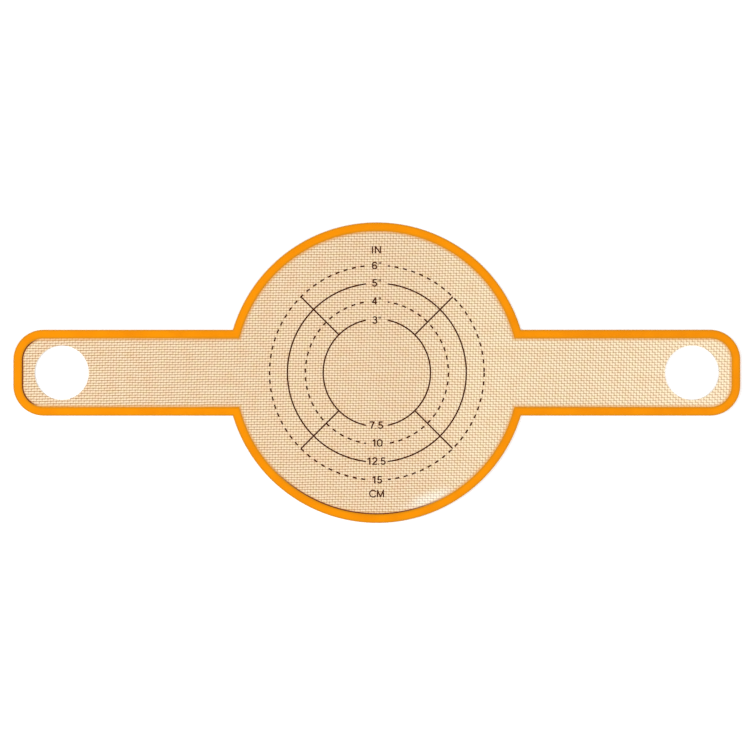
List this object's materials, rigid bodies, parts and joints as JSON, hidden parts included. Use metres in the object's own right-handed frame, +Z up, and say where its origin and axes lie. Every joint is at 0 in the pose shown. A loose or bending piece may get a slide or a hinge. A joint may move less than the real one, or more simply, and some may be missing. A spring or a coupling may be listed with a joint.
{
  "type": "silicone bread sling",
  "caption": "Round laminated silicone baking mat with a strap handle at each side, a hand hole in each handle, a raised edge border and a printed ring guide, for lifting dough and loaves.",
  "frame": {"origin": "on the underside, below the middle of the round", "axes": "+X along the straps to the right handle, +Y to the back edge, +Z up out of the printed face"},
  "size_m": [0.508, 0.21, 0.001],
  "materials": {
    "glass_cloth": "plain weave, sealed in silicone",
    "tan_silicone": "thin satin coat, weave shows through",
    "orange_silicone": "smooth satin",
    "guide_ink": "matt printed film"
  },
  "bodies": {
    "round": {"round_cloth": "glass_cloth", "round_top_coat": "tan_silicone", "round_bottom_coat": "tan_silicone", "round_front_border": "orange_silicone", "round_back_border": "orange_silicone", "guide_lines_left": "guide_ink", "guide_lines_right": "guide_ink"},
    "left_strap_1": {"left_strap_1_cloth": "glass_cloth", "left_strap_1_top_coat": "tan_silicone", "left_strap_1_bottom_coat": "tan_silicone", "left_strap_1_front_border": "orange_silicone", "left_strap_1_back_border": "orange_silicone"},
    "left_strap_2": {"left_strap_2_cloth": "glass_cloth", "left_strap_2_top_coat": "tan_silicone", "left_strap_2_bottom_coat": "tan_silicone", "left_strap_2_front_border": "orange_silicone", "left_strap_2_back_border": "orange_silicone"},
    "left_strap_3": {"left_strap_3_cloth": "glass_cloth", "left_strap_3_top_coat": "tan_silicone", "left_strap_3_bottom_coat": "tan_silicone", "left_strap_3_front_border": "orange_silicone", "left_strap_3_back_border": "orange_silicone"},
    "left_strap_4": {"left_strap_4_cloth": "glass_cloth", "left_strap_4_top_coat": "tan_silicone", "left_strap_4_bottom_coat": "tan_silicone", "left_strap_4_front_border": "orange_silicone", "left_strap_4_back_border": "orange_silicone"},
    "left_handle": {"left_handle_cloth": "glass_cloth", "left_handle_top_coat": "tan_silicone", "left_handle_bottom_coat": "tan_silicone", "left_handle_border": "orange_silicone"},
    "right_strap_1": {"right_strap_1_cloth": "glass_cloth", "right_strap_1_top_coat": "tan_silicone", "right_strap_1_bottom_coat": "tan_silicone", "right_strap_1_front_border": "orange_silicone", "right_strap_1_back_border": "orange_silicone"},
    "right_strap_2": {"right_strap_2_cloth": "glass_cloth", "right_strap_2_top_coat": "tan_silicone", "right_strap_2_bottom_coat": "tan_silicone", "right_strap_2_front_border": "orange_silicone", "right_strap_2_back_border": "orange_silicone"},
    "right_strap_3": {"right_strap_3_cloth": "glass_cloth", "right_strap_3_top_coat": "tan_silicone", "right_strap_3_bottom_coat": "tan_silicone", "right_strap_3_front_border": "orange_silicone", "right_strap_3_back_border": "orange_silicone"},
    "right_strap_4": {"right_strap_4_cloth": "glass_cloth", "right_strap_4_top_coat": "tan_silicone", "right_strap_4_bottom_coat": "tan_silicone", "right_strap_4_front_border": "orange_silicone", "right_strap_4_back_border": "orange_silicone"},
    "right_handle": {"right_handle_cloth": "glass_cloth", "right_handle_top_coat": "tan_silicone", "right_handle_bottom_coat": "tan_silicone", "right_handle_border": "orange_silicone"}
  },
  "joints": [
    {"name": "left_fold_1", "type": "hinge", "parent": "round", "child": "left_strap_1", "pos_m": [-0.106, 0, 0.001], "axis": [0, 1, 0], "range_deg": [0, 27]},
    {"name": "left_fold_2", "type": "hinge", "parent": "left_strap_1", "child": "left_strap_2", "pos_m": [-0.116, 0, 0.001], "axis": [0, 1, 0], "range_deg": [0, 27]},
    {"name": "left_fold_3", "type": "hinge", "parent": "left_strap_2", "child": "left_strap_3", "pos_m": [-0.126, 0, 0.001], "axis": [0, 1, 0], "range_deg": [0, 27]},
    {"name": "left_fold_4", "type": "hinge", "parent": "left_strap_3", "child": "left_strap_4", "pos_m": [-0.136, 0, 0.001], "axis": [0, 1, 0], "range_deg": [0, 27]},
    {"name": "left_fold_5", "type": "hinge", "parent": "left_strap_4", "child": "left_handle", "pos_m": [-0.146, 0, 0.001], "axis": [0, 1, 0], "range_deg": [0, 27]},
    {"name": "right_fold_1", "type": "hinge", "parent": "round", "child": "right_strap_1", "pos_m": [0.106, 0, 0.001], "axis": [0, -1, 0], "range_deg": [0, 27]},
    {"name": "right_fold_2", "type": "hinge", "parent": "right_strap_1", "child": "right_strap_2", "pos_m": [0.116, 0, 0.001], "axis": [0, -1, 0], "range_deg": [0, 27]},
    {"name": "right_fold_3", "type": "hinge", "parent": "right_strap_2", "child": "right_strap_3", "pos_m": [0.126, 0, 0.001], "axis": [0, -1, 0], "range_deg": [0, 27]},
    {"name": "right_fold_4", "type": "hinge", "parent": "right_strap_3", "child": "right_strap_4", "pos_m": [0.136, 0, 0.001], "axis": [0, -1, 0], "range_deg": [0, 27]},
    {"name": "right_fold_5", "type": "hinge", "parent": "right_strap_4", "child": "right_handle", "pos_m": [0.146, 0, 0.001], "axis": [0, -1, 0], "range_deg": [0, 27]}
  ],
  "couplings": [
    {"joint": "left_fold_2", "follows": "left_fold_1", "ratio": 1},
    {"joint": "left_fold_3", "follows": "left_fold_1", "ratio": 1},
    {"joint": "left_fold_4", "follows": "left_fold_1", "ratio": 1},
    {"joint": "left_fold_5", "follows": "left_fold_1", "ratio": 1},
    {"joint": "right_fold_2", "follows": "right_fold_1", "ratio": 1},
    {"joint": "right_fold_3", "follows": "right_fold_1", "ratio": 1},
    {"joint": "right_fold_4", "follows": "right_fold_1", "ratio": 1},
    {"joint": "right_fold_5", "follows": "right_fold_1", "ratio": 1}
  ]
}
